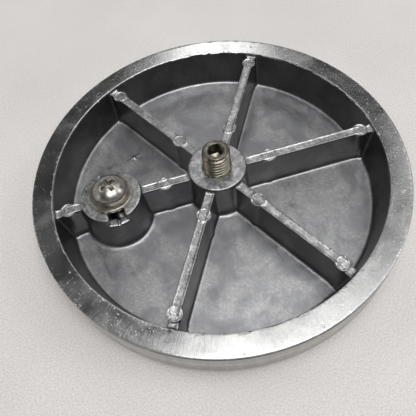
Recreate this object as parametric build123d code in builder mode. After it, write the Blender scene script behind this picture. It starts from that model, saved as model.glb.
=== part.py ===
from build123d import *
import os
from math import cos, radians, sin, sqrt, tan

os.makedirs("parts", exist_ok=True)

# Head of a small pottery wheel, lying on its working face with the ribbed underside up.
# +Z is up, the origin is the centre of the working face, one rib runs along +X and the
# clamp boss stands on the rib along -X. All lengths are millimetres, angles are degrees.

# Casting
wheel_diameter = 135.0
rim_height = 18.5          # working face to the machined rim face
rim_width = 7.45           # machined ring on top of the rim
wall_draft = 9.7           # slope of the inner wall
web_thickness = 3.25
working_edge_radius = 4.0
rim_edge_break = 0.35

rib_count = 6
rib_width = 2.7
rib_draft = 1.5
rib_drop = 0.75            # rib tops lie this far below the rim face
stub_drop = 0.9            # the last stretch to the rim is a little lower still,
low_stub_drops = {240: 2.6, 300: 1.6}   # and clearly lower on the ribs at these angles
pad_radius = 2.36          # round ejector columns on every rib
pad_drop = 0.6
pad_draft = 1.0
pad_edge_break = 0.15
inner_pad_circle = 19.6
outer_pad_circle = 55.1

hub_radius = 10.43
hub_draft = 2.0
boss_rise = 1.25           # hub and boss tops stand this far above the rim face
boss_centre = -39.1
boss_radius = 10.73        # at the top
boss_draft = 5.1
root_radius = 0.9          # hollow where the web meets what stands on it
root_sink = 0.05           # the hollow's lowest line lies this far inside the web
top_edge_radius = 0.4

# Clamp screw with its two captive washers, and the threaded bush that it draws up
screw_centre = -38.5
bore_radius = 6.5
slot_width = 5.6
ledge_depth = 3.25         # boss top to the ledge of the cross slot
ledge_groove_width = 1.0
ledge_groove_depth = 0.5
slot_mouth_radius = 1.2
slot_corner_margin = 0.8
deep_slot_width = 5.0
deep_slot_reach = 8.1      # the slot is deep out to this radius
deep_slot_floor = 3.9
screw_major = 6.0
screw_length = 20.0
screw_tip_chamfer = 0.8
screw_neck_radius = 2.65
screw_neck_length = 3.75
head_radius = 6.0
head_height = 3.9
head_flank = 1.0
head_edge_break = 0.3
head_dome_radius = 9.8
head_shoulder = 4.2        # the dome turns into the rounded edge at this radius
recess_angle = 28.0
recess_width = 1.5
recess_reach = 3.4
recess_floor_reach = 1.2
recess_depth = 2.9
flat_washer_radius = 7.7
flat_washer_thickness = 1.4
flat_washer_hole = 2.95
flat_washer_centre = -38.75
spring_washer_radius = 5.55
spring_washer_thickness = 1.6
spring_washer_hole = 2.72
spring_washer_gap = 0.9
spring_washer_gap_tilt = 25.0
spring_washer_gap_angle = 200.0
washer_edge_radius = 0.35
bush_clearance = 0.1
bush_hole_radius = 3.05    # running clearance on the screw's thread crests
bush_flange_radius = 9.0
bush_flange_thickness = 2.5
bush_top = 9.0
bush_recess = 0.1          # the flange lies this far inside the working face
bush_lug_reach = 7.8
bush_lug_width = 4.6
bush_lug_height = 4.5
bush_edge_break = 0.4

# Centre stud, a socket set screw held in the hub
stud_major = 10.0
stud_pitch_radius = 4.5    # stands for the engaged thread inside the hub
stud_hole_clearance = 0.02
stud_length = 25.0
stud_end = 10.4            # tip above the rim face
stud_chamfer = 0.95
hub_sink_radius = 5.25     # shallow sink round the stud
hub_sink_depth = 0.45
stud_hole_spare = 0.3
socket_size = 5.0
socket_depth = 5.0
socket_lead = 0.4
socket_cone_depth = 1.2
socket_angle = 30.0

# Worked out from the dimensions above
wheel_radius = wheel_diameter / 2
rim_inner_radius = wheel_radius - rim_width
wall_foot_radius = rim_inner_radius - (rim_height - web_thickness) * tan(radians(wall_draft))
stub_end = rim_inner_radius + 1.5
boss_top = rim_height + boss_rise
rib_top = rim_height - rib_drop
pad_top = rim_height - pad_drop
ledge_level = boss_top - ledge_depth
spring_washer_level = boss_top + flat_washer_thickness
head_level = spring_washer_level + spring_washer_thickness
head_top = head_level + head_height
dome_drop = head_dome_radius - sqrt(head_dome_radius**2 - head_shoulder**2)
stud_top = rim_height + stud_end
stud_bottom = stud_top - stud_length
rib_angles = [360 // rib_count * i for i in range(rib_count)]
foot_level = web_thickness - root_sink
on_base = (Align.CENTER, Align.CENTER, Align.MIN)


def round_post(centre, level, radius, draft, edge):
    """Drafted round post on the web, with a hollow root, as part of the casting."""
    slope = tan(radians(draft))
    waist_level = foot_level + root_radius
    waist = radius + (level - waist_level) * slope
    with BuildSketch(Plane((centre[0], centre[1], 0), x_dir=(1, 0, 0), z_dir=(0, -1, 0))) as half:
        with BuildLine():
            Polyline(
                (waist + root_radius, foot_level),
                (waist + root_radius, web_thickness / 2),
                (0, web_thickness / 2),
                (0, level),
                (radius - edge, level),
                (radius + edge * slope, level - edge),
                (waist, waist_level),
            )
            RadiusArc((waist, waist_level), (waist + root_radius, foot_level), -root_radius)
        make_face()
    revolve(half.sketch, axis=Axis((centre[0], centre[1], 0), (0, 0, 1)))


def rib(angle, start, end, level):
    """Straight drafted rib on the web with hollow roots, from radius start to radius end."""
    along = Vector(cos(radians(angle)), sin(radians(angle)), 0)
    across = Vector(-along.Y, along.X, 0)
    top = rib_width / 2
    waist_level = foot_level + root_radius
    waist = top + (level - waist_level) * tan(radians(rib_draft))
    with BuildSketch(Plane(along * start, x_dir=across, z_dir=along)) as section:
        with BuildLine():
            Polyline(
                (0, web_thickness / 2),
                (waist + root_radius, web_thickness / 2),
                (waist + root_radius, foot_level),
            )
            RadiusArc((waist + root_radius, foot_level), (waist, waist_level), root_radius)
            Polyline((waist, waist_level), (top, level), (0, level), (0, web_thickness / 2))
        make_face()
        mirror(about=Plane.YZ)
    extrude(section.sketch, amount=end - start)


def round_hole(centre, radius, bottom, top):
    """Plain round cut from level bottom to level top."""
    with Locations((centre, 0, bottom)):
        Cylinder(radius, top - bottom, align=(Align.CENTER, Align.CENTER, Align.MIN), mode=Mode.SUBTRACT)


# Casting: turned body, hub, boss, ribs and ejector columns, then the machined holes
with BuildPart() as wheel_head:
    with BuildSketch(Plane.XZ):
        with BuildLine():
            wall_waist = (
                wall_foot_radius + root_radius * tan(radians(wall_draft)),
                web_thickness + root_radius,
            )
            Polyline(
                (wall_waist[0] - root_radius, web_thickness),
                (0, web_thickness),
                (0, 0),
                (wheel_radius - working_edge_radius, 0),
            )
            RadiusArc(
                (wheel_radius - working_edge_radius, 0),
                (wheel_radius, working_edge_radius),
                -working_edge_radius,
            )
            Polyline(
                (wheel_radius, working_edge_radius),
                (wheel_radius, rim_height - rim_edge_break),
                (wheel_radius - rim_edge_break, rim_height),
                (rim_inner_radius + rim_edge_break, rim_height),
                (rim_inner_radius, rim_height - rim_edge_break),
                wall_waist,
            )
            RadiusArc(wall_waist, (wall_waist[0] - root_radius, web_thickness), root_radius)
        make_face()
    revolve(axis=Axis.Z)
    round_post((0, 0), boss_top, hub_radius, hub_draft, top_edge_radius)
    round_post((boss_centre, 0), boss_top, boss_radius, boss_draft, top_edge_radius)
    for angle in rib_angles:
        rib(angle, hub_radius / 2, outer_pad_circle, rib_top)
        rib(angle, outer_pad_circle, stub_end, rib_top - low_stub_drops.get(angle, stub_drop))
        for circle in (inner_pad_circle, outer_pad_circle):
            spot = (circle * cos(radians(angle)), circle * sin(radians(angle)))
            round_post(spot, pad_top, pad_radius, pad_draft, pad_edge_break)

    # Hub: blind hole for the stud, with a shallow sink at its mouth
    round_hole(0, hub_sink_radius, boss_top - hub_sink_depth, boss_top)
    round_hole(0, stud_pitch_radius + stud_hole_clearance, stud_bottom - stud_hole_spare, boss_top)

    # Boss: stepped bore for the bush, and a cross slot that is deep beside the bore
    round_hole(screw_centre, bore_radius, 0, boss_top)
    round_hole(screw_centre, bush_flange_radius + bush_clearance, 0, bush_recess + bush_flange_thickness)
    with BuildSketch(Plane.XY.offset(boss_top)) as ledge_slot:
        with Locations((screw_centre, 0)):
            Rectangle(slot_width, 4 * boss_radius)
    extrude(ledge_slot.sketch, amount=-ledge_depth, mode=Mode.SUBTRACT)
    with BuildSketch(Plane.XY.offset(ledge_level)) as groove:
        with Locations((screw_centre, 0)):
            Rectangle(ledge_groove_width, 4 * boss_radius)
    extrude(groove.sketch, amount=-ledge_groove_depth, mode=Mode.SUBTRACT)
    with BuildSketch(Plane.XY.offset(deep_slot_floor)) as deep_slot:
        with Locations((screw_centre, 0)):
            Circle(deep_slot_reach)
            Rectangle(deep_slot_width, 3 * boss_radius, mode=Mode.INTERSECT)
    extrude(deep_slot.sketch, amount=boss_top - deep_slot_floor, mode=Mode.SUBTRACT)
    # Round the slot's four outer corners
    corners = [
        edge
        for edge in wheel_head.edges()
        if abs(abs(edge.center().X - screw_centre) - slot_width / 2) < slot_corner_margin
        and abs(abs(edge.center().Y) - boss_radius) < slot_corner_margin
        and edge.bounding_box().size.Z > ledge_depth / 2
    ]
    fillet(corners, slot_mouth_radius)
wheel_head.part.label = "wheel_head"

# Threaded bush: turned from the working face up, with two lugs that lie in the deep slot
with BuildPart() as pin_bush:
    with Locations((screw_centre, 0, bush_recess)):
        Cylinder(bush_flange_radius, bush_flange_thickness, align=on_base)
    chamfer(pin_bush.edges().filter_by(GeomType.CIRCLE).sort_by(Axis.Z)[0], bush_edge_break)
    with Locations((screw_centre, 0, bush_recess)):
        Cylinder(bore_radius - bush_clearance, bush_top - bush_recess, align=on_base)
    with BuildSketch(Plane.XY.offset(bush_top)) as lugs:
        with Locations((screw_centre, 0)):
            Circle(bush_lug_reach)
            Rectangle(bush_lug_width, 3 * bush_lug_reach, mode=Mode.INTERSECT)
    extrude(lugs.sketch, amount=-bush_lug_height)
    round_hole(screw_centre, bush_hole_radius, bush_recess, bush_top)
    mouths = pin_bush.edges().filter_by(GeomType.CIRCLE).filter_by(
        lambda edge: abs(edge.radius - bush_hole_radius) < bush_clearance
    )
    chamfer(mouths, bush_edge_break)
pin_bush.part.label = "pin_bush"

# Centre stud: full thread diameter above the hub, pitch diameter where it is engaged
with BuildPart() as centre_stud:
    with BuildSketch(Plane.XZ):
        with BuildLine():
            Polyline(
                (0, stud_bottom),
                (stud_pitch_radius - stud_chamfer, stud_bottom),
                (stud_pitch_radius, stud_bottom + stud_chamfer),
                (stud_pitch_radius, boss_top),
                (stud_major / 2, boss_top),
                (stud_major / 2, stud_top - stud_chamfer),
                (stud_major / 2 - stud_chamfer, stud_top),
                (0, stud_top),
                close=True,
            )
        make_face()
    revolve(axis=Axis.Z)
    with BuildSketch(Plane.XY.offset(stud_top)):
        RegularPolygon(socket_size / 2, 6, major_radius=False, rotation=socket_angle)
    extrude(amount=-socket_depth, mode=Mode.SUBTRACT)
    with Locations((0, 0, stud_top - socket_depth)):
        Cone(
            0,
            socket_size / 2,
            socket_cone_depth,
            align=(Align.CENTER, Align.CENTER, Align.MAX),
            mode=Mode.SUBTRACT,
        )
    with Locations((0, 0, stud_top)):
        Cone(
            socket_size / 2,
            socket_size / 2 + 2 * socket_lead,
            2 * socket_lead,
            align=(Align.CENTER, Align.CENTER, Align.CENTER),
            mode=Mode.SUBTRACT,
        )
centre_stud.part.label = "centre_stud"

# Flat washer, lying on the boss
with BuildPart() as flat_washer:
    with BuildSketch(Plane.XY.offset(boss_top)):
        with Locations((flat_washer_centre, 0)):
            Circle(flat_washer_radius)
            Circle(flat_washer_hole, mode=Mode.SUBTRACT)
    extrude(amount=flat_washer_thickness)
    outer_edges = flat_washer.edges().filter_by(GeomType.CIRCLE).sort_by(SortBy.RADIUS)[-2:]
    fillet(outer_edges, washer_edge_radius)
flat_washer.part.label = "flat_washer"

# Spring washer: square-section ring, pressed flat, with its ends cut on the slant
with BuildPart() as spring_washer:
    with BuildSketch(Plane.XY.offset(spring_washer_level)):
        with Locations((screw_centre, 0)):
            Circle(spring_washer_radius)
            Circle(spring_washer_hole, mode=Mode.SUBTRACT)
    extrude(amount=spring_washer_thickness)
    with Locations(
        Location(
            (
                screw_centre + spring_washer_radius * cos(radians(spring_washer_gap_angle)),
                spring_washer_radius * sin(radians(spring_washer_gap_angle)),
                spring_washer_level + spring_washer_thickness / 2,
            ),
            (spring_washer_gap_tilt, 0, spring_washer_gap_angle),
        )
    ):
        Box(
            2 * (spring_washer_radius - spring_washer_hole) + spring_washer_hole,
            spring_washer_gap,
            3 * spring_washer_thickness,
            mode=Mode.SUBTRACT,
        )
spring_washer.part.label = "spring_washer"

# Clamp screw: pan head with a cross recess, plain neck for the washers, thread below
with BuildPart() as clamp_screw:
    with BuildSketch(Plane((screw_centre, 0, 0), x_dir=(1, 0, 0), z_dir=(0, -1, 0))) as half_screw:
        with BuildLine():
            Polyline(
                (0, head_top),
                (0, head_level - screw_length),
                (screw_major / 2 - screw_tip_chamfer, head_level - screw_length),
                (screw_major / 2, head_level - screw_length + screw_tip_chamfer),
                (screw_major / 2, head_level - screw_neck_length),
                (screw_neck_radius, head_level - screw_neck_length),
                (screw_neck_radius, head_level),
                (head_radius - head_edge_break, head_level),
                (head_radius, head_level + head_edge_break),
                (head_radius, head_level + head_flank),
            )
            RadiusArc((0, head_top), (head_shoulder, head_top - dome_drop), head_dome_radius)
            TangentArc(
                (head_shoulder, head_top - dome_drop),
                (head_radius, head_level + head_flank),
                tangent=(sqrt(head_dome_radius**2 - head_shoulder**2), -head_shoulder),
            )
        make_face()
    revolve(half_screw.sketch, axis=Axis((screw_centre, 0, 0), (0, 0, 1)))
    for turn in (recess_angle, recess_angle + 90):
        across = Vector(-sin(radians(turn)), cos(radians(turn)), 0)
        along = Vector(cos(radians(turn)), sin(radians(turn)), 0)
        with BuildSketch(Plane((screw_centre, 0, 0), x_dir=along, z_dir=-across)) as wing:
            with BuildLine():
                Polyline(
                    (-recess_reach, head_top),
                    (-recess_floor_reach, head_top - recess_depth),
                    (recess_floor_reach, head_top - recess_depth),
                    (recess_reach, head_top),
                    close=True,
                )
            make_face()
        extrude(wing.sketch, amount=recess_width / 2, both=True, mode=Mode.SUBTRACT)
clamp_screw.part.label = "clamp_screw"

for piece in (wheel_head, pin_bush, centre_stud, flat_washer, spring_washer, clamp_screw):
    export_step(piece.part, f"parts/{piece.part.label}.step")
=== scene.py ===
from math import cos, pi, radians, sin, tan

import bpy
import numpy as np
import openvdb
from mathutils import Matrix, Vector


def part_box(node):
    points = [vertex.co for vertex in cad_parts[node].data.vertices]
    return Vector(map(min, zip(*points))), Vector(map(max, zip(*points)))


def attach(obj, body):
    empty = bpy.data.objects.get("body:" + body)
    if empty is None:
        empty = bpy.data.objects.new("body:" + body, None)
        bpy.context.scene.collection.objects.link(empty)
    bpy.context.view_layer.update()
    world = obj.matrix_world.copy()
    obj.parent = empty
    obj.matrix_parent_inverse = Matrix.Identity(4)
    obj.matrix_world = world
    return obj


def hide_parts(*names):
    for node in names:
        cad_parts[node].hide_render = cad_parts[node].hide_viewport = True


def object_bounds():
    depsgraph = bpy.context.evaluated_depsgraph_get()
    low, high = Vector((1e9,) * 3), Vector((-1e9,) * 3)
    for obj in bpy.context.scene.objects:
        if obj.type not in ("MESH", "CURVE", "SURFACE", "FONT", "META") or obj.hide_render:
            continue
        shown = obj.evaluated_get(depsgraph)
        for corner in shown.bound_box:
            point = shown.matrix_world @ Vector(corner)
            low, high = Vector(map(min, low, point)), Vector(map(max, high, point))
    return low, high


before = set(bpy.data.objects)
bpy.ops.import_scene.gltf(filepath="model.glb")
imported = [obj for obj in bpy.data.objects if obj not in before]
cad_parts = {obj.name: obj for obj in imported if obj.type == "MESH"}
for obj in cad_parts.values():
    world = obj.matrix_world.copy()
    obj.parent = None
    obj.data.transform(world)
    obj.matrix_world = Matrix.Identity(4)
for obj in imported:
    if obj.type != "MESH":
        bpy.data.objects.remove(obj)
cad_low, cad_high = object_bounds()

# Head of a small pottery wheel, ribbed underside up. Every piece but the bush is carved as a
# distance field in millimetres (negative inside), then skinned as one closed mesh in metres.
# Sizes are in millimetres up to the lamps, and in metres from there on.

MM = 0.001
VOXEL = 0.22                 # spacing of the casting's field
FINE_VOXEL = 0.12            # and of the small turned pieces' fields
ADAPTIVITY = 0.065           # how far flat stretches are merged into larger faces
FIELD_REACH = 3              # the field is kept this many voxels deep on both sides

# The casting, from its CAD box
head_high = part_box("wheel_head")[1] / MM
WHEEL_RADIUS = head_high.x
BOSS_TOP = head_high.z
RIM_TOP = BOSS_TOP - 1.25
RIM_INNER = WHEEL_RADIUS - 7.45
RIM_EDGE = 0.35
RIM_INNER_EDGE = 0.2
LIP_LINE = 1.15              # shallow line round the wall, this far below the rim
LIP_LINE_DEPTH = 0.18
LIP_LINE_WIDTH = 0.45
LIP_LINE_WAVER = 0.12
WORKING_EDGE = 4.0
WALL_DRAFT = radians(9.7)
WEB = 3.25
ROOT_RADIUS = 0.9
COVE_START = 51.0            # the floor rises softly from this radius to the wall
COVE_WIDTH = 6.0
COVE_RISE = 0.10
COVE_RISE_BACK = 0.50        # the rise is greater towards +Y
RIB_ANGLES = range(0, 360, 60)
RIB_WIDTH = 3.4
RIB_DRAFT = radians(1.5)
RIB_TOP = RIM_TOP - 0.75
RIB_LIP = 0.26               # raised line along both edges of a rib's top
LIP_INSET = 0.3
LIP_WIDTH = 0.22
RIB_BLEND = 1.1
STUB_DROP = 0.9
LOW_STUB_DROPS = {240: 2.6, 300: 1.6}
STUB_END = RIM_INNER + 1.5
STUB_FLARE = 0.9
STUB_STEP = 1.5
PAD_CIRCLES = (19.6, 55.1)
PAD_RADIUS = 2.75
PAD_TOP = RIM_TOP - 0.6
PAD_DRAFT = radians(1.0)
PAD_HEAD = 0.45              # depth of the flash disc that spreads over each column
COLUMN_RADIUS = 2.1
PAD_RING = 0.3               # raised flash ring round the top of each ejector column
PAD_RING_RADIUS = 2.45
PAD_RING_WIDTH = 0.24
PAD_BLEND = 0.7
RIB_TOP_EDGE = 0.12
RIB_ROUGHNESS = 0.012        # random relief on the tops of ribs
PAD_ROUGHNESS = 0.02
FLOOR_WAVES = 0.02
HUB_RADIUS = 10.43
HUB_DRAFT = radians(2.0)
HUB_SINK_RADIUS = 5.25
HUB_SINK_DEPTH = 0.45
BOSS_CENTRE = -39.1
BOSS_RADIUS = 10.73
BOSS_DRAFT = radians(5.1)
HUB_ROUGHNESS = 0.014
BOSS_ROUGHNESS = 0.006
TOP_ROOM = 0.1               # the hub's and the boss's tops lie this low, for their relief
TOP_EDGE = 0.4
POST_BLEND = 1.5
HOLE_CLEARANCE = 0.05        # the stud's hole stands this clear of its crests
HOLE_EXTRA_DEPTH = 0.3
HOLE_EDGE = 0.12
SCREW_CENTRE = -38.5
BORE_RADIUS = 6.5
COUNTERBORE_RADIUS = 9.1
COUNTERBORE_TOP = 2.6
SLOT_WIDTH = 5.6
LEDGE = BOSS_TOP - 3.25
GROOVE_WIDTH = 1.0
GROOVE_DEPTH = 0.5
GROOVE_EDGE = 0.3
SLOT_MOUTH = 1.2
DEEP_SLOT_WIDTH = 5.0
DEEP_SLOT_REACH = 8.1
DEEP_SLOT_FLOOR = 3.9
SLOT_EDGE = 0.55
DEEP_SLOT_EDGE = 0.3
BORE_EDGE = 0.25
COUNTERBORE_EDGE = 0.2
DENTS = 220                  # small dents, nearly all along the rim's two edges
DENT_SIZES = (0.25, 0.55)
DENT_DEPTHS = (0.05, 0.13)
DENT_SHARES = (0.4, 0.52, 0.08)
MARK_WIDTH = 0.38
FLOOR_MARKS = (              # centre, size, strokes and height of each cast mark
    ((-29.0, 26.6), 3.2, 3, 0.2),
    ((25.0, -15.0), 3.4, 1, 0.08),
    ((-38.5, 24.4), 2.2, 1, 0.10),
)

# Threads and cones
THREAD_SHARE = 0.61          # depth of a thread as a share of its pitch
THREAD_CREST = 0.12          # flat share of each half turn, at the crest and at the root
THREAD_SCALE = 0.8           # turns a depth below a thread into a distance
CONE_SCALE = 0.707           # the same for a cone of 45 degrees

# Stud, from its CAD box: M10 x 1.5
stud_low, stud_high = [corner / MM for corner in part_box("centre_stud")]
STUD_RADIUS = stud_high.x
STUD_TOP = stud_high.z
STUD_BOTTOM = stud_low.z
STUD_PITCH = 1.5
STUD_CHAMFER = 0.95
SOCKET_SIZE = 5.0
SOCKET_DEPTH = 5.0
SOCKET_CONE = 1.2
SOCKET_LEAD = 0.4
SOCKET_ANGLE = radians(30.0)
SOCKET_EDGE = 0.12
LEAD_EDGE = 0.08
STUD_END_EDGE = 0.1
BEAD_RADIUS = 0.36           # bead of sealant round the stud
BEAD_LUMPS = 0.13
BEAD_FLATNESS = 0.8
BEAD_VOXEL = 0.1

# Clamp screw and its washers, from their CAD boxes: M6 x 1
screw_low, screw_high = [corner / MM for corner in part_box("clamp_screw")]
washer_low, washer_high = [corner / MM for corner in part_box("flat_washer")]
spring_low, spring_high = [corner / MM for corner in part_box("spring_washer")]
HEAD_TOP = screw_high.z
HEAD_LEVEL = spring_high.z
HEAD_RADIUS = screw_high.y
HEAD_FLANK = 1.0
HEAD_EDGE = 0.3
HEAD_SHOULDER = 0.4
SCREW_BOTTOM = screw_low.z
SCREW_RADIUS = 3.0
SCREW_PITCH = 1.0
NECK_RADIUS = 2.65
NECK_END = HEAD_LEVEL - 3.75
TIP_CHAMFER = 0.8
RECESS_ANGLE = radians(28.0)
RECESS_WIDTH = 1.5
RECESS_REACH = 3.4
RECESS_FLOOR_REACH = 1.2
RECESS_DEPTH = 2.9
RECESS_WING_EDGE = 0.3
RECESS_EDGE = 0.16
WASHER_CENTRE = (washer_low.x + washer_high.x) / 2
WASHER_RADIUS = washer_high.y
WASHER_HOLE = 2.95
WASHER_EDGE = 0.35
WASHER_HOLE_EDGE = 0.15
SPRING_RADIUS = spring_high.y
SPRING_HOLE = 2.72
SPRING_GAP = 0.9
SPRING_GAP_ANGLE = radians(200.0)
SPRING_GAP_TILT = radians(25.0)
SPRING_EDGE = 0.2
SPRING_GAP_EDGE = 0.12

# Lamps: azimuth and elevation in degrees, size in metres, brightness
LAMP_DISTANCE = 1.5
SOFTBOXES = (
    (0, 88, 0.5, 4.4),
    (20, 68, 0.55, 0.88),
    (80, 68, 0.55, 1.7),
    (140, 68, 0.55, 5.6),
    (-160, 68, 0.55, 7.0),
    (-60, 45, 0.45, 2.6),
    (13, 41, 0.33, 3.0),
    (8, 54, 0.34, 0.7),
    (60, 45, 0.45, 1.4),
    (100, 45, 0.45, 4.2),
    (-90, 22, 0.5, 0.8),
)

# Room and table
ROOM_LIGHT = 0.035           # brightness of the room overhead
ROOM_LIGHT_START = radians(36)
WALL_LIGHT = 0.38            # and of its pale walls, low down
WALL_LIGHT_END = radians(16)
TABLE_SIZE = 16
TABLE_GAP = 0.00005

# Camera: its place, its axes and its lens in millimetres
CAMERA_PLACE = (-0.01944, -0.09739, 0.15670)
CAMERA_RIGHT = (0.95994, -0.26898, -0.07853)
CAMERA_UP = (0.27061, 0.81715, 0.50895)
CAMERA_LENS = 40.72


# Distance fields ------------------------------------------------------------------------------

class Lattice:
    """Regular lattice of points round a piece, in millimetres, that holds the piece's field."""

    def __init__(self, low, high, step):
        margin = (FIELD_REACH + 1) * step
        self.step = step
        self.low = np.array(low, float) - margin
        counts = np.ceil((np.array(high, float) + margin - self.low) / step).astype(int) + 1
        axes = [self.low[i] + step * np.arange(counts[i]) for i in range(3)]
        self.x, self.y, self.z = np.meshgrid(*[a.astype(np.float32) for a in axes],
                                             indexing="ij", sparse=True)
        self.field = None

    def near(self, centre, reach):
        """The lattice's share around a spot in plan: its slices, and its x, y and z."""
        cuts = []
        for i, axis in enumerate((self.x, self.y)):
            first = int((centre[i] - reach - self.low[i]) / self.step)
            last = int((centre[i] + reach - self.low[i]) / self.step) + 2
            cuts.append(slice(max(first, 0), min(last, axis.size)))
        return tuple(cuts), self.x[cuts[0]], self.y[:, cuts[1]], self.z

    def relief(self, wavelength, seed):
        """Smooth random relief of unit strength in plan, with bumps about one wavelength across."""
        shape = (self.x.size, self.y.size)
        white = np.fft.rfft2(np.random.default_rng(seed).standard_normal(shape))
        across = np.fft.fftfreq(shape[0], self.step)[:, None]
        along = np.fft.rfftfreq(shape[1], self.step)[None, :]
        band = np.exp(-2.0 * (np.hypot(across, along) * wavelength - 1) ** 2)
        height = np.fft.irfft2(white * band, shape)
        return (height / height.std()).astype(np.float32)[:, :, None]


def both(a, b, edge):
    """What is inside both a and b, with its outer edge rounded to a radius."""
    inner = np.minimum(np.maximum(a, b) + edge, 0)
    return inner + np.hypot(np.maximum(a + edge, 0), np.maximum(b + edge, 0)) - edge


def either(a, b, blend):
    """What is inside a or b, with a fillet of about blend where they meet."""
    share = np.clip(0.5 + 0.5 * (b - a) / blend, 0, 1)
    return b + (a - b) * share - blend * share * (1 - share)


def soft_step(t):
    """0 below 0, 1 above 1, and smooth between."""
    t = np.clip(t, 0, 1)
    return t * t * (3 - 2 * t)


def ridge(distance, width):
    """Bell of height 1 about a line at distance 0."""
    return np.exp(-(distance / width) ** 2)


def thread_radius(angle, height, major, pitch):
    """Radius of a right-hand thread's surface, with flat crests and hollow roots."""
    phase = np.mod(height / pitch - angle / (2 * pi), 1.0)
    flank = np.abs(phase - 0.5) * 2
    depth = THREAD_SHARE * pitch
    return major - depth * soft_step((flank - THREAD_CREST) / (1 - 2 * THREAD_CREST))


def skin(name, lattice, materials, choose=None):
    """Closed mesh where the lattice's field is zero, in metres, with normals from the field."""
    field, step = lattice.field, lattice.step
    volume = openvdb.FloatGrid(float(FIELD_REACH))
    volume.copyFromArray(np.clip(field / step, -FIELD_REACH, FIELD_REACH).astype(np.float32))
    points, triangles, quads = volume.convertToPolygons(isovalue=0.0, adaptivity=ADAPTIVITY)
    normals = field_normals(field, points)
    corners = np.concatenate([quads.ravel(), triangles.ravel()]).astype(np.int32)
    sizes = np.repeat([4, 3], [len(quads), len(triangles)])
    places = (points * step + lattice.low) * MM
    mesh = bpy.data.meshes.new(name)
    mesh.vertices.add(len(points))
    mesh.vertices.foreach_set("co", places.astype(np.float32).ravel())
    mesh.loops.add(len(corners))
    mesh.loops.foreach_set("vertex_index", corners)
    mesh.polygons.add(len(sizes))
    starts = np.concatenate([[0], np.cumsum(sizes)[:-1]])
    mesh.polygons.foreach_set("loop_start", starts.astype(np.int32))
    mesh.update(calc_edges=True)
    for material in materials:
        mesh.materials.append(material)
    if choose:
        centres = np.empty(len(sizes) * 3, np.float32)
        mesh.polygons.foreach_get("center", centres)
        facing = np.empty(len(sizes) * 3, np.float32)
        mesh.polygons.foreach_get("normal", facing)
        slots = choose(centres.reshape(-1, 3) / MM, facing.reshape(-1, 3))
        mesh.polygons.foreach_set("material_index", slots.astype(np.int32))
    mesh.shade_smooth()
    mesh.normals_split_custom_set_from_vertices(normals.tolist())
    piece = bpy.data.objects.new(name, mesh)
    bpy.context.scene.collection.objects.link(piece)
    return piece


def field_normals(field, points):
    """The field's slope at each point, by central differences over half a voxel each way."""
    slopes = []
    for axis in range(3):
        nudge = np.zeros(3)
        nudge[axis] = 0.5
        slopes.append(sampled(field, points + nudge) - sampled(field, points - nudge))
    normals = np.stack(slopes, axis=1)
    return normals / np.maximum(np.linalg.norm(normals, axis=1, keepdims=True), 1e-9)


def sampled(field, points):
    """The field at points between lattice points, by linear interpolation."""
    base = np.clip(np.floor(points).astype(int), 0, np.array(field.shape) - 2)
    share = points - base
    total = np.zeros(len(points))
    for corner in np.ndindex(2, 2, 2):
        weight = np.prod(np.where(corner, share, 1 - share), axis=1)
        total += weight * field[tuple((base + corner).T)]
    return total


# Materials ------------------------------------------------------------------------------------

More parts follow.
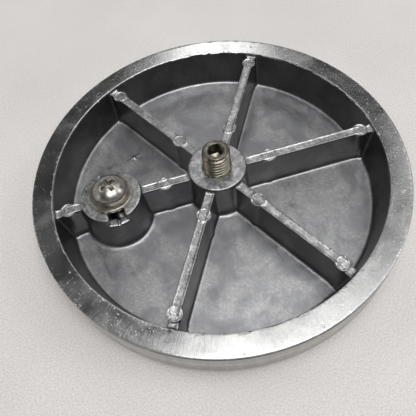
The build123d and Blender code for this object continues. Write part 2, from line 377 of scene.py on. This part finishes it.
class Finish:
    """A node material under construction, around one Principled shader."""

    def __init__(self, name, **settings):
        self.material = bpy.data.materials.new(name)
        self.material.use_nodes = True
        self.tree = self.material.node_tree
        self.shader = self.tree.nodes["Principled BSDF"]
        for socket, value in settings.items():
            self.shader.inputs[socket.replace("_", " ")].default_value = value
        self.place = self.add("ShaderNodeTexCoord").outputs["Object"]

    def add(self, kind, **settings):
        node = self.tree.nodes.new(kind)
        for key, value in settings.items():
            setattr(node, key, value)
        return node

    def join(self, source, target):
        self.tree.links.new(source, target)

    def stretched(self, x, y, z):
        """Object coordinates with a scale of their own along each axis."""
        node = self.add("ShaderNodeMapping")
        node.inputs["Scale"].default_value = (x, y, z)
        self.join(self.place, node.inputs["Vector"])
        return node.outputs["Vector"]

    def ring_place(self, radial, around):
        """Coordinates that follow circles about the wheel's axis: radius, angle, height."""
        split = self.add("ShaderNodeSeparateXYZ")
        self.join(self.place, split.inputs[0])
        flat = self.add("ShaderNodeCombineXYZ")
        self.join(split.outputs["X"], flat.inputs["X"])
        self.join(split.outputs["Y"], flat.inputs["Y"])
        length = self.add("ShaderNodeVectorMath", operation="LENGTH")
        self.join(flat.outputs[0], length.inputs[0])
        turn = self.add("ShaderNodeMath", operation="ARCTAN2")
        self.join(split.outputs["Y"], turn.inputs[0])
        self.join(split.outputs["X"], turn.inputs[1])
        made = self.add("ShaderNodeCombineXYZ")
        for source, scale, target in ((length.outputs["Value"], radial, "X"),
                                      (turn.outputs[0], around, "Y"),
                                      (split.outputs["Z"], radial, "Z")):
            times = self.add("ShaderNodeMath", operation="MULTIPLY")
            times.inputs[1].default_value = scale
            self.join(source, times.inputs[0])
            self.join(times.outputs[0], made.inputs[target])
        return made.outputs[0]

    def steepness(self):
        """0 where the surface is level, and 1 where it is upright."""
        split = self.add("ShaderNodeSeparateXYZ")
        self.join(self.add("ShaderNodeTexCoord").outputs["Normal"], split.inputs[0])
        up = self.add("ShaderNodeMath", operation="ABSOLUTE")
        self.join(split.outputs["Z"], up.inputs[0])
        return self.levels(up.outputs[0], 0.0, 1.0, 1.0, 0.0)

    def noise(self, size=None, place=None, detail=3.0, rough=0.55, warp=0.0):
        """Cloudy noise with features about size millimetres across, or at the place's own scale."""
        node = self.add("ShaderNodeTexNoise")
        node.inputs["Scale"].default_value = 1.0 if size is None else 1 / (size * MM)
        node.inputs["Detail"].default_value = detail
        node.inputs["Roughness"].default_value = rough
        node.inputs["Distortion"].default_value = warp
        self.join(place or self.place, node.inputs["Vector"])
        return node.outputs["Fac"]

    def cells(self, size):
        """Distance to the nearest of scattered points about size millimetres apart."""
        node = self.add("ShaderNodeTexVoronoi", feature="F1")
        node.inputs["Scale"].default_value = 1 / (size * MM)
        self.join(self.place, node.inputs["Vector"])
        return node.outputs["Distance"]

    def levels(self, source, low, high, start=0.0, end=1.0):
        """Maps low..high onto start..end, clamped."""
        node = self.add("ShaderNodeMapRange")
        limits = (("From Min", low), ("From Max", high), ("To Min", start), ("To Max", end))
        for socket, value in limits:
            node.inputs[socket].default_value = value
        self.join(source, node.inputs["Value"])
        return node.outputs["Result"]

    def ramp(self, source, *stops):
        """Colour ramp through (position, colour) stops."""
        node = self.add("ShaderNodeValToRGB")
        elements = node.color_ramp.elements
        while len(elements) < len(stops):
            elements.new(0.5)
        for element, (position, colour) in zip(elements, stops):
            element.position = position
            element.color = (*colour, 1)
        self.join(source, node.inputs["Fac"])
        return node.outputs["Color"]

    def blend_to(self, share, first, colour):
        """Mixes a fixed colour over another by share."""
        node = self.add("ShaderNodeMix", data_type="RGBA")
        self.join(share, node.inputs["Factor"])
        self.join(first, node.inputs[6])
        node.inputs[7].default_value = (*colour, 1)
        return node.outputs[2]

    def times(self, first, second):
        node = self.add("ShaderNodeMath", operation="MULTIPLY")
        self.join(first, node.inputs[0])
        self.join(second, node.inputs[1])
        return node.outputs[0]

    def sum(self, first, second, share):
        """first + share * second."""
        node = self.add("ShaderNodeMath", operation="MULTIPLY_ADD")
        self.join(second, node.inputs[0])
        node.inputs[1].default_value = share
        self.join(first, node.inputs[2])
        return node.outputs[0]

    def bump(self, height, depth, strength=1.0, before=None):
        """Bump of depth millimetres for a height from 0 to 1."""
        node = self.add("ShaderNodeBump")
        node.inputs["Strength"].default_value = strength
        node.inputs["Distance"].default_value = depth * MM
        self.join(height, node.inputs["Height"])
        if before:
            self.join(before, node.inputs["Normal"])
        return node.outputs["Normal"]

    def done(self, colour, roughness, normal):
        self.join(colour, self.shader.inputs["Base Color"])
        self.join(roughness, self.shader.inputs["Roughness"])
        self.join(normal, self.shader.inputs["Normal"])
        return self.material


def cast_metal():
    """Die-cast aluminium as it leaves the mould: grey, with flow marks, bright worn patches and
    painted shade on upright walls.
    """
    f = Finish("cast_metal", Metallic=1.0)
    clouds = f.noise(13, detail=4, warp=0.8)
    flow = f.noise(place=f.stretched(230, 90, 230), detail=5, rough=0.62, warp=1.4)
    grain = f.noise(0.5, detail=2)
    tone = f.sum(clouds, flow, 0.6)
    colour = f.ramp(
        f.levels(f.sum(tone, grain, 0.16), 0.58, 1.2),
        (0.0, (0.25, 0.25, 0.262)),
        (0.45, (0.34, 0.342, 0.352)),
        (1.0, (0.47, 0.47, 0.472)),
    )
    scrape = f.noise(0.9, detail=4, rough=0.75)
    worn = f.times(f.levels(scrape, 0.46, 0.66), f.levels(clouds, 0.44, 0.58))
    colour = f.blend_to(worn, colour, (0.54, 0.54, 0.54))
    # Painted shade: upright walls are blended towards near-black, standing in for the dark room
    # they reflect.
    colour = f.blend_to(f.levels(f.steepness(), 0.15, 0.7, 0.0, 0.62), colour, (0.06, 0.06, 0.06))
    roughness = f.levels(f.sum(flow, grain, 0.35), 0.4, 0.95, 0.33, 0.50)
    normal = f.bump(grain, 0.008, 0.6)
    normal = f.bump(flow, 0.02, 0.5, normal)
    return f.done(colour, roughness, normal)


def cast_tops():
    """Tops of ribs, hub and ejector columns: brighter, crushed and mottled metal."""
    f = Finish("cast_tops", Metallic=1.0)
    specks = f.noise(0.8, detail=4, rough=0.65, warp=0.5)
    clouds = f.noise(3.2, detail=3)
    colour = f.ramp(
        f.levels(f.sum(specks, clouds, 1.0), 0.75, 1.3),
        (0.0, (0.30, 0.30, 0.305)),
        (0.5, (0.47, 0.47, 0.475)),
        (1.0, (0.80, 0.80, 0.80)),
    )
    roughness = f.levels(specks, 0.3, 0.75, 0.28, 0.5)
    return f.done(colour, roughness, f.bump(specks, 0.035, 0.7))


def turned_metal():
    """Machined rim: fine turning lines, radial scuffs and bright nicks."""
    f = Finish("turned_metal", Metallic=1.0)
    rings = f.noise(place=f.ring_place(5200, 14), detail=3, rough=0.6)
    scuffs = f.noise(place=f.ring_place(260, 150), detail=4, rough=0.65, warp=0.6)
    haze = f.noise(11, detail=4, warp=0.6)
    specks = f.levels(f.cells(1.3), 0.06, 0.14, 1.0, 0.0)
    patches = f.levels(f.noise(14, detail=2), 0.40, 0.56)
    nicks = f.times(specks, patches)
    ticks = f.times(f.levels(scuffs, 0.60, 0.68), patches)
    colour = f.ramp(f.levels(f.sum(haze, scuffs, 0.5), 0.5, 1.05),
                    (0.0, (0.50, 0.50, 0.495)), (1.0, (0.70, 0.70, 0.695)))
    colour = f.blend_to(nicks, colour, (0.97, 0.97, 0.96))
    wear = f.sum(f.sum(f.sum(haze, rings, 0.5), ticks, 0.5), nicks, 1.0)
    roughness = f.levels(wear, 0.45, 1.6, 0.15, 0.48)
    normal = f.bump(rings, 0.010, 0.5)
    normal = f.bump(scuffs, 0.03, 0.5, normal)
    normal = f.bump(nicks, 0.05, 0.8, normal)
    return f.done(colour, roughness, normal)


def wall_metal():
    """Working face and outer wall, lightly turned and stained: near-black below the rim, painted
    shade at the foot.
    """
    f = Finish("wall_metal", Metallic=1.0)
    haze = f.noise(place=f.ring_place(160, 9), detail=4, warp=0.5)
    grain = f.noise(0.6, detail=3)
    lines = f.noise(place=f.ring_place(3600, 5), detail=3, rough=0.65)
    runs = f.noise(place=f.ring_place(60, 26), detail=4, rough=0.6)
    height = f.add("ShaderNodeSeparateXYZ")
    f.join(f.place, height.inputs[0])
    level = f.sum(height.outputs["Z"], haze, 0.0006)
    colour = f.ramp(
        f.levels(level, 0.0, RIM_TOP * MM),
        (0.03, (0.60, 0.60, 0.59)),
        # painted contact shade at the foot, growing lighter up to the 0.55 stop
        (0.07, (0.13, 0.12, 0.105)),
        (0.22, (0.33, 0.315, 0.295)),
        (0.55, (0.41, 0.395, 0.375)),
        # painted highlight band partway up the wall
        (0.62, (0.56, 0.55, 0.535)),
        (0.70, (0.39, 0.397, 0.38)),
        (0.905, (0.38, 0.388, 0.372)),
        # near-black band just below the rim
        (0.925, (0.04, 0.04, 0.037)),
        (0.99, (0.05, 0.05, 0.047)),
        (1.0, (0.60, 0.60, 0.59)),
    )
    stains = f.levels(f.sum(runs, lines, 0.5), 0.62, 1.05, 0.0, 0.5)
    colour = f.blend_to(stains, colour, (0.16, 0.16, 0.165))
    roughness = f.levels(f.sum(f.sum(haze, grain, 0.4), lines, 0.5), 0.5, 1.3, 0.12, 0.34)
    normal = f.bump(lines, 0.02, 0.6)
    return f.done(colour, roughness, f.bump(grain, 0.012, 0.6, normal))


def plated_metal(name, dark, light, tint, low_roughness, high_roughness):
    """Nickel plate over a turned or rolled piece, stained in places."""
    f = Finish(name, Metallic=1.0)
    stain = f.noise(2.6, detail=4, warp=0.7)
    fine = f.noise(0.35, detail=3)
    tone = f.levels(f.sum(stain, fine, 0.3), 0.4, 0.95)
    colour = f.ramp(tone, (0.0, dark), (0.5, tint), (1.0, light))
    roughness = f.levels(f.sum(stain, fine, 0.5), 0.4, 1.1, low_roughness, high_roughness)
    normal = f.bump(fine, 0.012, 0.6)
    return f.done(colour, roughness, normal)


def sealant():
    """Dried thread sealant, dull green."""
    f = Finish("sealant")
    f.shader.inputs["Coat Weight"].default_value = 0.3
    clouds = f.noise(0.8, detail=4)
    colour = f.ramp(clouds, (0.3, (0.10, 0.12, 0.05)), (0.7, (0.30, 0.32, 0.16)))
    return f.done(colour, f.levels(clouds, 0.3, 0.7, 0.35, 0.7), f.bump(clouds, 0.1, 0.7))


def table_top():
    """Pale warm laminate with a fine sparkling fleck."""
    f = Finish("table_top", IOR=1.45)
    fleck = f.noise(0.55, detail=2, rough=0.8)
    sparkle = f.levels(f.cells(1.3), 0.08, 0.2, 1.0, 0.0)
    clouds = f.noise(60, detail=2)
    colour = f.ramp(
        f.sum(fleck, clouds, 0.2),
        (0.42, (0.68, 0.645, 0.62)),
        (0.72, (0.95, 0.915, 0.89)),
    )
    colour = f.blend_to(f.times(sparkle, f.levels(clouds, 0.3, 0.6)), colour, (0.98, 0.96, 0.93))
    return f.done(colour, f.levels(fleck, 0.3, 0.7, 0.35, 0.7), f.bump(fleck, 0.06, 0.5))


# Pieces ---------------------------------------------------------------------------------------

def drafted(distance, radius, draft, top, height):
    """Flank of something drafted that is radius wide at level top."""
    return distance - radius - (top - height) * tan(draft)


def carve_ribs(lattice, field):
    """Adds the six ribs with their raised edges, and the ejector columns on them."""
    x, y, z = lattice.x, lattice.y, lattice.z
    specks = lattice.relief(1.1, 11)
    for angle in RIB_ANGLES:
        c, s = cos(radians(angle)), sin(radians(angle))
        along = x * c + y * s
        across = np.abs(y * c - x * s)
        on_stub = soft_step((along - PAD_CIRCLES[1]) / STUB_STEP)
        lip = RIB_LIP * ridge(across - RIB_WIDTH / 2 + LIP_INSET, LIP_WIDTH)
        drop = LOW_STUB_DROPS.get(angle, STUB_DROP) * on_stub
        top = RIB_TOP - drop + lip + RIB_ROUGHNESS * specks
        flare = STUB_FLARE * on_stub * soft_step((RIB_TOP - z) / (RIB_TOP - WEB))
        flank = drafted(across, RIB_WIDTH / 2, RIB_DRAFT, RIB_TOP, z) - flare
        bar = both(flank, z - top, RIB_TOP_EDGE)
        bar = np.maximum(bar, np.maximum(-along, along - STUB_END))
        field = either(field, bar, RIB_BLEND)
    for angle in RIB_ANGLES:
        for circle in PAD_CIRCLES:
            spot = (circle * cos(radians(angle)), circle * sin(radians(angle)))
            here, px, py, pz = lattice.near(spot, PAD_RADIUS + 3)
            distance = np.hypot(px - spot[0], py - spot[1])
            flash = PAD_RING * (ridge(distance - PAD_RING_RADIUS, PAD_RING_WIDTH) - 1)
            top = PAD_TOP + flash + PAD_ROUGHNESS * specks[here]
            flank = drafted(distance, COLUMN_RADIUS, PAD_DRAFT, PAD_TOP, pz)
            slab = np.maximum(pz - top, PAD_TOP - PAD_HEAD - pz)
            disc = both(distance - PAD_RADIUS, slab, RIB_TOP_EDGE)
            column = either(disc, np.maximum(flank, pz - top), PAD_BLEND)
            column = np.maximum(column, pz - top)
            field[here] = either(field[here], column, PAD_BLEND)
    return field


def carve_posts(lattice, field):
    """Adds the hub and the clamp boss."""
    rough = lattice.relief(2.4, 12)
    for centre, radius, draft, relief in ((0, HUB_RADIUS, HUB_DRAFT, HUB_ROUGHNESS),
                                          (BOSS_CENTRE, BOSS_RADIUS, BOSS_DRAFT, BOSS_ROUGHNESS)):
        here, px, py, pz = lattice.near((centre, 0), radius + 5)
        distance = np.hypot(px - centre, py)
        top = BOSS_TOP - TOP_ROOM + np.clip(relief * rough[here], -2 * TOP_ROOM, TOP_ROOM)
        flank = drafted(distance, radius, draft, BOSS_TOP, pz)
        field[here] = either(field[here], both(flank, pz - top, TOP_EDGE), POST_BLEND)
    return field


def cut_holes(lattice, field):
    """Cuts the stud's hole, the boss's bore and its cross slot."""
    here, px, py, pz = lattice.near((0, 0), HUB_SINK_RADIUS + 2)
    distance = np.hypot(px, py)
    hole = np.maximum(distance - STUD_RADIUS - HOLE_CLEARANCE, STUD_BOTTOM - HOLE_EXTRA_DEPTH - pz)
    sink = np.maximum(distance - HUB_SINK_RADIUS, BOSS_TOP - HUB_SINK_DEPTH - pz)
    field[here] = both(field[here], -np.minimum(hole, sink), HOLE_EDGE)

    here, px, py, pz = lattice.near((SCREW_CENTRE, 0), BOSS_RADIUS + 5)
    bore_distance = np.hypot(px - SCREW_CENTRE, py)
    boss_distance = np.hypot(px - BOSS_CENTRE, py)
    side = np.abs(px - SCREW_CENTRE)
    into_mouth = np.clip(boss_distance - BOSS_RADIUS + SLOT_MOUTH, 0, SLOT_MOUTH)
    mouth = SLOT_MOUTH - np.sqrt(SLOT_MOUTH**2 - into_mouth**2)
    groove = soft_step(((GROOVE_WIDTH + GROOVE_EDGE) / 2 - side) / GROOVE_EDGE)
    ledge = LEDGE - GROOVE_DEPTH * groove
    slot = np.maximum(side - SLOT_WIDTH / 2 - mouth, ledge - pz)
    slot = np.maximum(slot, boss_distance - BOSS_RADIUS - 3)
    deep = np.maximum(side - DEEP_SLOT_WIDTH / 2, bore_distance - DEEP_SLOT_REACH)
    deep = np.maximum(deep, DEEP_SLOT_FLOOR - pz)
    field[here] = both(field[here], -slot, SLOT_EDGE)
    field[here] = both(field[here], -deep, DEEP_SLOT_EDGE)
    counterbore = np.maximum(bore_distance - COUNTERBORE_RADIUS, pz - COUNTERBORE_TOP)
    bore = bore_distance - BORE_RADIUS
    field[here] = both(field[here], -bore, BORE_EDGE)
    field[here] = both(field[here], -counterbore, COUNTERBORE_EDGE)
    return field


def wear_rim(lattice, field):
    """Dents along the rim's two edges and on its face."""
    rng = np.random.default_rng(5)
    for _ in range(DENTS):
        inside = rng.uniform(RIM_INNER + 1, WHEEL_RADIUS - 1)
        edge = rng.choice([RIM_INNER + 0.05, WHEEL_RADIUS - 0.05, inside], p=DENT_SHARES)
        turn = rng.uniform(0, 2 * pi)
        size = rng.uniform(*DENT_SIZES)
        depth = rng.uniform(*DENT_DEPTHS)
        spot = (edge * cos(turn), edge * sin(turn))
        here, px, py, pz = lattice.near(spot, 2)
        level = pz - RIM_TOP - size + depth
        ball = np.sqrt((px - spot[0]) ** 2 + (py - spot[1]) ** 2 + level**2) - size
        field[here] = np.maximum(field[here], -ball)
    return field


def mark_floor(lattice, level):
    """Cast marks on the floor: a small three-stroke mark and two low smudges."""
    for centre, size, strokes, height in FLOOR_MARKS:
        here, px, py, _ = lattice.near(centre, 2 * size)
        for stroke in range(strokes):
            turn = radians(20 + 180 / strokes * stroke)
            along = (px - centre[0]) * cos(turn) + (py - centre[1]) * sin(turn)
            across = (py - centre[1]) * cos(turn) - (px - centre[0]) * sin(turn)
            level[here] += height * ridge(across, MARK_WIDTH) * ridge(along, size / 1.4)
    return level


def wheel_head():
    """The casting: turned body, hub, boss, ribs, ejector columns, holes and wear."""
    low = (-WHEEL_RADIUS, -WHEEL_RADIUS, 0)
    lattice = Lattice(low, (WHEEL_RADIUS, WHEEL_RADIUS, BOSS_TOP), VOXEL)
    x, y, z = lattice.x, lattice.y, lattice.z
    radius = np.hypot(x, y)
    back = (0.5 + 0.5 * y / np.maximum(radius, 1)) ** 2
    rise = COVE_RISE + (COVE_RISE_BACK - COVE_RISE) * back
    level = WEB + rise * soft_step((radius - COVE_START) / COVE_WIDTH)
    level = level + FLOOR_WAVES * lattice.relief(13, 1)
    level = mark_floor(lattice, level)
    wall = (radius - RIM_INNER + (RIM_TOP - z) * tan(WALL_DRAFT)) * cos(WALL_DRAFT)
    hollow = both(wall, level - z, ROOT_RADIUS)
    waver = LIP_LINE_WAVER * lattice.relief(3.0, 3)
    line = LIP_LINE_DEPTH * ridge(z - RIM_TOP + LIP_LINE + waver, LIP_LINE_WIDTH)
    outside = both(radius - WHEEL_RADIUS + line, z - RIM_TOP, RIM_EDGE)
    outside = both(outside, -z, WORKING_EDGE)
    field = both(outside, -hollow, RIM_INNER_EDGE)
    field = carve_posts(lattice, field)
    field = carve_ribs(lattice, field)
    field = cut_holes(lattice, np.maximum(field, -z))
    lattice.field = wear_rim(lattice, field)

    def choose(centres, facing):
        """0 as cast, 1 mottled tops, 2 machined rim, 3 outer wall and working face."""
        out = np.hypot(centres[:, 0], centres[:, 1])
        level = centres[:, 2]
        tops = (facing[:, 2] > 0.6) & (level > RIB_TOP - 3.2) & (out < RIM_INNER - 0.4)
        rim = (level > RIM_TOP - 0.6) & (out > RIM_INNER - 0.25)
        shell = (out > WHEEL_RADIUS - WORKING_EDGE - 0.2) & (level < WORKING_EDGE)
        wall = (out > WHEEL_RADIUS - 0.6) & (level < RIM_TOP - 0.2) | shell | (level < 0.2)
        return np.select([wall, rim, tops], [3, 2, 1], 0)

    materials = [cast_metal(), cast_tops(), turned_metal(), wall_metal()]
    return skin("wheel_casting", lattice, materials, choose)


def centre_stud():
    """Socket set screw with a real helical thread."""
    low = (-STUD_RADIUS, -STUD_RADIUS, STUD_BOTTOM)
    lattice = Lattice(low, (STUD_RADIUS, STUD_RADIUS, STUD_TOP), FINE_VOXEL)
    x, y, z = lattice.x, lattice.y, lattice.z
    radius = np.hypot(x, y)
    surface = thread_radius(np.arctan2(y, x), z, STUD_RADIUS, STUD_PITCH)
    cone = STUD_RADIUS - STUD_CHAMFER + np.minimum(STUD_TOP - z, z - STUD_BOTTOM)
    side = np.maximum((radius - surface) * THREAD_SCALE, (radius - cone) * CONE_SCALE)
    body = both(side, np.maximum(z - STUD_TOP, STUD_BOTTOM - z), STUD_END_EDGE)
    turns = [SOCKET_ANGLE + i * pi / 3 for i in range(3)]
    across = [np.abs(x * cos(turn) + y * sin(turn)) for turn in turns]
    hexagon = np.maximum(np.maximum(across[0], across[1]), across[2]) - SOCKET_SIZE / 2
    cone_slope = SOCKET_CONE / (SOCKET_SIZE / 2)
    bottom = STUD_TOP - SOCKET_DEPTH - SOCKET_CONE + radius * cone_slope
    socket = np.maximum(hexagon, bottom - z)
    lead = (radius - SOCKET_SIZE / 2 - SOCKET_LEAD + (STUD_TOP - z)) * CONE_SCALE
    lattice.field = both(both(body, -socket, SOCKET_EDGE), -lead, LEAD_EDGE)
    plate = plated_metal("stud_plate", (0.09, 0.08, 0.062), (0.44, 0.41, 0.375),
                         (0.215, 0.197, 0.16), 0.22, 0.40)
    return skin("centre_stud_threaded", lattice, [plate])


def stud_sealant():
    """Bead of dried thread sealant round the stud, in the hub's sink."""
    base = BOSS_TOP - HUB_SINK_DEPTH
    lattice = Lattice((-6, -6, base), (6, 6, BOSS_TOP + 0.3), BEAD_VOXEL)
    radius = np.hypot(lattice.x, lattice.y)
    lump = lattice.relief(2.2, 21)
    across = radius - STUD_RADIUS + 0.05
    ring = np.hypot(across, (lattice.z - base) * BEAD_FLATNESS) - BEAD_RADIUS - BEAD_LUMPS * lump
    lattice.field = np.maximum(ring, base - lattice.z)
    return skin("stud_sealant", lattice, [sealant()])


def clamp_screw():
    """Pan-head screw with a cross recess and a real helical thread."""
    lattice = Lattice((SCREW_CENTRE - HEAD_RADIUS, -HEAD_RADIUS, SCREW_BOTTOM),
                      (SCREW_CENTRE + HEAD_RADIUS, HEAD_RADIUS, HEAD_TOP), FINE_VOXEL)
    x, y, z = lattice.x - SCREW_CENTRE, lattice.y, lattice.z
    radius = np.hypot(x, y)
    rise = HEAD_TOP - HEAD_LEVEL - HEAD_FLANK
    dome_radius = (HEAD_RADIUS**2 + rise**2) / (2 * rise)
    dome = np.hypot(radius, z - HEAD_TOP + dome_radius) - dome_radius
    head = both(radius - HEAD_RADIUS, dome, HEAD_SHOULDER)
    head = both(head, HEAD_LEVEL - z, HEAD_EDGE)
    surface = thread_radius(np.arctan2(y, x), z, SCREW_RADIUS, SCREW_PITCH)
    surface = np.where(z > NECK_END, NECK_RADIUS, surface)
    tip = SCREW_RADIUS - TIP_CHAMFER + (z - SCREW_BOTTOM)
    shank = np.maximum((radius - surface) * THREAD_SCALE, (radius - tip) * CONE_SCALE)
    shank = np.maximum(shank, np.maximum(SCREW_BOTTOM - z, z - HEAD_LEVEL - 1))
    field = np.minimum(head, shank)
    taper = (RECESS_REACH - RECESS_FLOOR_REACH) / RECESS_DEPTH
    for turn in (RECESS_ANGLE, RECESS_ANGLE + pi / 2):
        along = np.abs(x * cos(turn) + y * sin(turn))
        across = np.abs(y * cos(turn) - x * sin(turn))
        reach = RECESS_FLOOR_REACH + (z - HEAD_TOP + RECESS_DEPTH) * taper
        wing = both(across - RECESS_WIDTH / 2, along - reach, RECESS_WING_EDGE)
        wing = np.maximum(wing, HEAD_TOP - RECESS_DEPTH - z)
        field = both(field, -wing, RECESS_EDGE)
    lattice.field = field
    return skin("clamp_screw_threaded", lattice, [screw_plate])


def flat_washer():
    """Flat washer with rounded edges."""
    lattice = Lattice((WASHER_CENTRE - WASHER_RADIUS, -WASHER_RADIUS, washer_low.z),
                      (WASHER_CENTRE + WASHER_RADIUS, WASHER_RADIUS, washer_high.z), FINE_VOXEL)
    radius = np.hypot(lattice.x - WASHER_CENTRE, lattice.y)
    middle = (washer_low.z + washer_high.z) / 2
    flat = np.abs(lattice.z - middle) - (washer_high.z - washer_low.z) / 2
    ring = both(radius - WASHER_RADIUS, flat, WASHER_EDGE)
    lattice.field = both(ring, WASHER_HOLE - radius, WASHER_HOLE_EDGE)
    return skin("flat_washer_plated", lattice, [screw_plate])


def spring_washer():
    """Split ring of square section."""
    lattice = Lattice((SCREW_CENTRE - SPRING_RADIUS, -SPRING_RADIUS, spring_low.z),
                      (SCREW_CENTRE + SPRING_RADIUS, SPRING_RADIUS, spring_high.z), FINE_VOXEL)
    x, y, z = lattice.x - SCREW_CENTRE, lattice.y, lattice.z
    radius = np.hypot(x, y)
    middle = (spring_low.z + spring_high.z) / 2
    flat = np.abs(z - middle) - (spring_high.z - spring_low.z) / 2
    ring = both(radius - SPRING_RADIUS, flat, SPRING_EDGE)
    ring = both(ring, SPRING_HOLE - radius, SPRING_EDGE)
    along = x * cos(SPRING_GAP_ANGLE) + y * sin(SPRING_GAP_ANGLE)
    across = y * cos(SPRING_GAP_ANGLE) - x * sin(SPRING_GAP_ANGLE)
    tilted = across * cos(SPRING_GAP_TILT) + (z - middle) * sin(SPRING_GAP_TILT)
    slant = np.abs(tilted) - SPRING_GAP / 2
    lattice.field = both(ring, -np.maximum(slant, -along), SPRING_GAP_EDGE)
    return skin("spring_washer_split", lattice, [screw_plate])


# Scene ----------------------------------------------------------------------------------------

def softbox(azimuth, elevation, size, radiance):
    """Round soft lamp that looks at the wheel. Azimuth 0 is +Y, turning towards +X."""
    name = f"softbox_{azimuth}_{elevation}"
    lamp = bpy.data.lights.new(name, "AREA")
    lamp.shape = "DISK"
    lamp.size = size
    lamp.energy = radiance * pi * pi * size**2 / 4
    a, e = radians(azimuth), radians(elevation)
    way = Vector((sin(a) * cos(e), cos(a) * cos(e), sin(e)))
    holder = bpy.data.objects.new(name, lamp)
    holder.location = way * LAMP_DISTANCE
    holder.rotation_mode = "QUATERNION"
    holder.rotation_quaternion = (-way).to_track_quat("-Z", "Y")
    holder.visible_camera = False
    bpy.context.scene.collection.objects.link(holder)


def make_stage():
    """Pale table, soft lamps, and a room with pale walls and a dim ceiling."""
    bpy.ops.mesh.primitive_plane_add(size=TABLE_SIZE, location=(0, 0, cad_low.z - TABLE_GAP))
    table = bpy.context.object
    table.name = "table"
    table.data.materials.append(table_top())
    for lamp in SOFTBOXES:
        softbox(*lamp)
    world = bpy.data.worlds.new("room")
    world.use_nodes = True
    tree = world.node_tree
    split = tree.nodes.new("ShaderNodeSeparateXYZ")
    tree.links.new(tree.nodes.new("ShaderNodeTexCoord").outputs["Generated"], split.inputs[0])
    ramp = tree.nodes.new("ShaderNodeValToRGB")
    low, high = ramp.color_ramp.elements
    low.position = sin(WALL_LIGHT_END)
    low.color = (WALL_LIGHT, WALL_LIGHT, WALL_LIGHT, 1)
    high.position = sin(ROOM_LIGHT_START)
    high.color = (ROOM_LIGHT, ROOM_LIGHT, ROOM_LIGHT, 1)
    tree.links.new(split.outputs["Z"], ramp.inputs["Fac"])
    tree.links.new(ramp.outputs["Color"], tree.nodes["Background"].inputs["Color"])
    bpy.context.scene.world = world


def make_camera():
    """Camera that looks down on the wheel from the front left."""
    data = bpy.data.cameras.new("camera")
    data.lens = CAMERA_LENS
    data.sensor_width = 36
    data.clip_start = 0.01
    camera = bpy.data.objects.new("camera", data)
    right = Vector(CAMERA_RIGHT)
    up = Vector(CAMERA_UP)
    turn = Matrix((right, up, right.cross(up))).transposed()
    camera.matrix_world = Matrix.Translation(CAMERA_PLACE) @ turn.to_4x4()
    bpy.context.scene.collection.objects.link(camera)
    bpy.context.scene.camera = camera


bpy.context.scene.view_settings.view_transform = "Standard"
make_camera()
make_stage()
screw_plate = plated_metal("screw_plate", (0.36, 0.338, 0.305), (0.60, 0.572, 0.53),
                           (0.48, 0.453, 0.412), 0.24, 0.34)

for build, node, body, slot in (
    (wheel_head, "wheel_head", "wheel", "cast_metal"),
    (centre_stud, "centre_stud", "wheel", "stud_nickel"),
    (clamp_screw, "clamp_screw", "clamp_screw", "screw_nickel"),
    (flat_washer, "flat_washer", "flat_washer", "screw_nickel"),
    (spring_washer, "spring_washer", "spring_washer", "screw_nickel"),
):
    piece = build()
    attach(piece, body)
    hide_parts(node)

bead = stud_sealant()
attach(bead, "wheel")

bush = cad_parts["pin_bush"]
bush.data.materials.clear()
bush_plate = plated_metal("bush_steel", (0.16, 0.16, 0.165), (0.5, 0.5, 0.5),
                          (0.3, 0.3, 0.3), 0.3, 0.5)
bush.data.materials.append(bush_plate)
